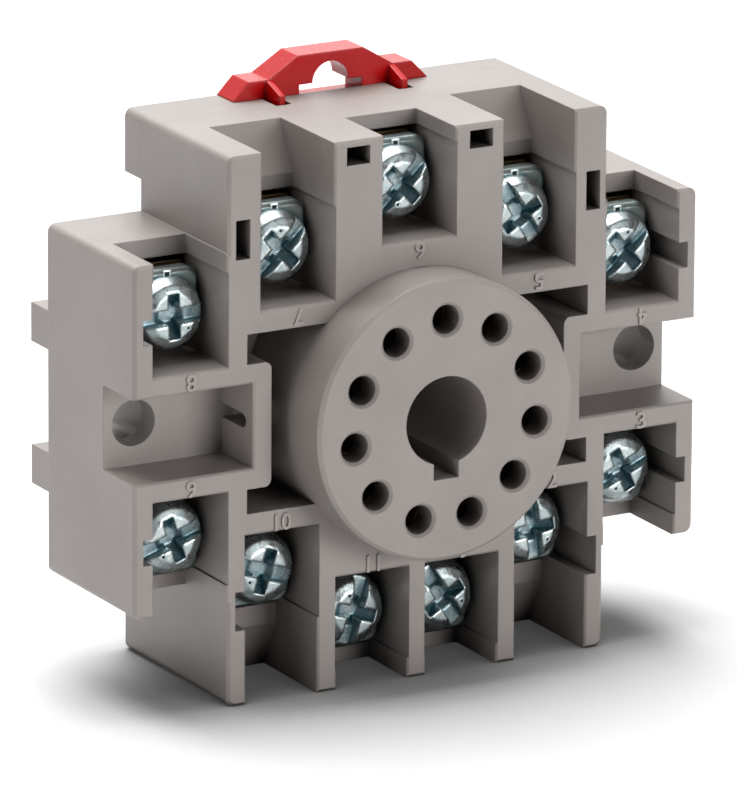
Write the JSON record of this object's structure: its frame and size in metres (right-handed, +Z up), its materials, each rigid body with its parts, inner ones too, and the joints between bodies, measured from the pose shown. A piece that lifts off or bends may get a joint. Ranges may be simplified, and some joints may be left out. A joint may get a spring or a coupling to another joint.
{
  "type": "relay socket",
  "caption": "Plug-in relay socket: a round boss with a ring of pin holes and a key bore, screw terminals in open bays around it, and a sliding latch for a mounting rail.",
  "frame": {"origin": "on the plug's axis, in the front face of the round boss", "axes": "+X to the right seen from the front, +Y from the front to the rail at the back, +Z up"},
  "size_m": [0.0588, 0.0258, 0.0556],
  "materials": {
    "grey_plastic": "satin moulded",
    "red_plastic": "satin moulded",
    "zinc_plated_steel": "clear blue chromate over zinc",
    "zinc_plated_clamp": "stamped, zinc plated",
    "brass": "stamped"
  },
  "bodies": {
    "socket": {"front_housing": "grey_plastic", "rear_base": "grey_plastic", "contact_1": "brass", "contact_2": "brass", "contact_3": "brass", "contact_4": "brass", "contact_5": "brass", "contact_6": "brass", "contact_7": "brass", "contact_8": "brass", "contact_9": "brass", "contact_10": "brass", "contact_11": "brass"},
    "latch": {"rail_latch": "red_plastic"},
    "clamp_1": {"wire_clamp_1": "zinc_plated_clamp"},
    "screw_1": {"terminal_screw_1": "zinc_plated_steel"},
    "clamp_2": {"wire_clamp_2": "zinc_plated_clamp"},
    "screw_2": {"terminal_screw_2": "zinc_plated_steel"},
    "clamp_3": {"wire_clamp_3": "zinc_plated_clamp"},
    "screw_3": {"terminal_screw_3": "zinc_plated_steel"},
    "clamp_4": {"wire_clamp_4": "zinc_plated_clamp"},
    "screw_4": {"terminal_screw_4": "zinc_plated_steel"},
    "clamp_5": {"wire_clamp_5": "zinc_plated_clamp"},
    "screw_5": {"terminal_screw_5": "zinc_plated_steel"},
    "clamp_6": {"wire_clamp_6": "zinc_plated_clamp"},
    "screw_6": {"terminal_screw_6": "zinc_plated_steel"},
    "clamp_7": {"wire_clamp_7": "zinc_plated_clamp"},
    "screw_7": {"terminal_screw_7": "zinc_plated_steel"},
    "clamp_8": {"wire_clamp_8": "zinc_plated_clamp"},
    "screw_8": {"terminal_screw_8": "zinc_plated_steel"},
    "clamp_9": {"wire_clamp_9": "zinc_plated_clamp"},
    "screw_9": {"terminal_screw_9": "zinc_plated_steel"},
    "clamp_10": {"wire_clamp_10": "zinc_plated_clamp"},
    "screw_10": {"terminal_screw_10": "zinc_plated_steel"},
    "clamp_11": {"wire_clamp_11": "zinc_plated_clamp"},
    "screw_11": {"terminal_screw_11": "zinc_plated_steel"}
  },
  "joints": [
    {"name": "latch_release", "type": "slide", "parent": "socket", "child": "latch", "axis": [0, 0, 1], "range_m": [0, 0.003]},
    {"name": "clamp_travel_1", "type": "slide", "parent": "socket", "child": "clamp_1", "axis": [0, 1, 0], "range_m": [0, 0.0018]},
    {"name": "screw_turn_1", "type": "hinge", "parent": "clamp_1", "child": "screw_1", "pos_m": [0.0047, 0.00835, -0.02], "axis": [0, 1, 0], "range_deg": [0, 817]},
    {"name": "clamp_travel_2", "type": "slide", "parent": "socket", "child": "clamp_2", "axis": [0, 1, 0], "range_m": [0, 0.0018]},
    {"name": "screw_turn_2", "type": "hinge", "parent": "clamp_2", "child": "screw_2", "pos_m": [0.01414, 0.00835, -0.01465], "axis": [0, 1, 0], "range_deg": [0, 817]},
    {"name": "clamp_travel_3", "type": "slide", "parent": "socket", "child": "clamp_3", "axis": [0, 1, 0], "range_m": [0, 0.0018]},
    {"name": "screw_turn_3", "type": "hinge", "parent": "clamp_3", "child": "screw_3", "pos_m": [0.0236, 0.00835, -0.01025], "axis": [0, 1, 0], "range_deg": [0, 817]},
    {"name": "clamp_travel_4", "type": "slide", "parent": "socket", "child": "clamp_4", "axis": [0, 1, 0], "range_m": [0, 0.0018]},
    {"name": "screw_turn_4", "type": "hinge", "parent": "clamp_4", "child": "screw_4", "pos_m": [0.0236, 0.00835, 0.01085], "axis": [0, 1, 0], "range_deg": [0, 817]},
    {"name": "clamp_travel_5", "type": "slide", "parent": "socket", "child": "clamp_5", "axis": [0, 1, 0], "range_m": [0, 0.0018]},
    {"name": "screw_turn_5", "type": "hinge", "parent": "clamp_5", "child": "screw_5", "pos_m": [0.01257, 0.00835, 0.0157], "axis": [0, 1, 0], "range_deg": [0, 817]},
    {"name": "clamp_travel_6", "type": "slide", "parent": "socket", "child": "clamp_6", "axis": [0, 1, 0], "range_m": [0, 0.0018]},
    {"name": "screw_turn_6", "type": "hinge", "parent": "clamp_6", "child": "screw_6", "pos_m": [0, 0.00835, 0.0202], "axis": [0, 1, 0], "range_deg": [0, 817]},
    {"name": "clamp_travel_7", "type": "slide", "parent": "socket", "child": "clamp_7", "axis": [0, 1, 0], "range_m": [0, 0.0018]},
    {"name": "screw_turn_7", "type": "hinge", "parent": "clamp_7", "child": "screw_7", "pos_m": [-0.01257, 0.00835, 0.0157], "axis": [0, 1, 0], "range_deg": [0, 817]},
    {"name": "clamp_travel_8", "type": "slide", "parent": "socket", "child": "clamp_8", "axis": [0, 1, 0], "range_m": [0, 0.0018]},
    {"name": "screw_turn_8", "type": "hinge", "parent": "clamp_8", "child": "screw_8", "pos_m": [-0.0236, 0.00835, 0.01085], "axis": [0, 1, 0], "range_deg": [0, 817]},
    {"name": "clamp_travel_9", "type": "slide", "parent": "socket", "child": "clamp_9", "axis": [0, 1, 0], "range_m": [0, 0.0018]},
    {"name": "screw_turn_9", "type": "hinge", "parent": "clamp_9", "child": "screw_9", "pos_m": [-0.0236, 0.00835, -0.01025], "axis": [0, 1, 0], "range_deg": [0, 817]},
    {"name": "clamp_travel_10", "type": "slide", "parent": "socket", "child": "clamp_10", "axis": [0, 1, 0], "range_m": [0, 0.0018]},
    {"name": "screw_turn_10", "type": "hinge", "parent": "clamp_10", "child": "screw_10", "pos_m": [-0.01414, 0.00835, -0.01465], "axis": [0, 1, 0], "range_deg": [0, 817]},
    {"name": "clamp_travel_11", "type": "slide", "parent": "socket", "child": "clamp_11", "axis": [0, 1, 0], "range_m": [0, 0.0018]},
    {"name": "screw_turn_11", "type": "hinge", "parent": "clamp_11", "child": "screw_11", "pos_m": [-0.0047, 0.00835, -0.02], "axis": [0, 1, 0], "range_deg": [0, 817]}
  ],
  "couplings": [
    {"joint": "screw_turn_1", "follows": "clamp_travel_1", "rad_per_m": 7915.8},
    {"joint": "screw_turn_2", "follows": "clamp_travel_2", "rad_per_m": 7915.8},
    {"joint": "screw_turn_3", "follows": "clamp_travel_3", "rad_per_m": 7915.8},
    {"joint": "screw_turn_4", "follows": "clamp_travel_4", "rad_per_m": 7915.8},
    {"joint": "screw_turn_5", "follows": "clamp_travel_5", "rad_per_m": 7915.8},
    {"joint": "screw_turn_6", "follows": "clamp_travel_6", "rad_per_m": 7915.8},
    {"joint": "screw_turn_7", "follows": "clamp_travel_7", "rad_per_m": 7915.8},
    {"joint": "screw_turn_8", "follows": "clamp_travel_8", "rad_per_m": 7915.8},
    {"joint": "screw_turn_9", "follows": "clamp_travel_9", "rad_per_m": 7915.8},
    {"joint": "screw_turn_10", "follows": "clamp_travel_10", "rad_per_m": 7915.8},
    {"joint": "screw_turn_11", "follows": "clamp_travel_11", "rad_per_m": 7915.8}
  ]
}
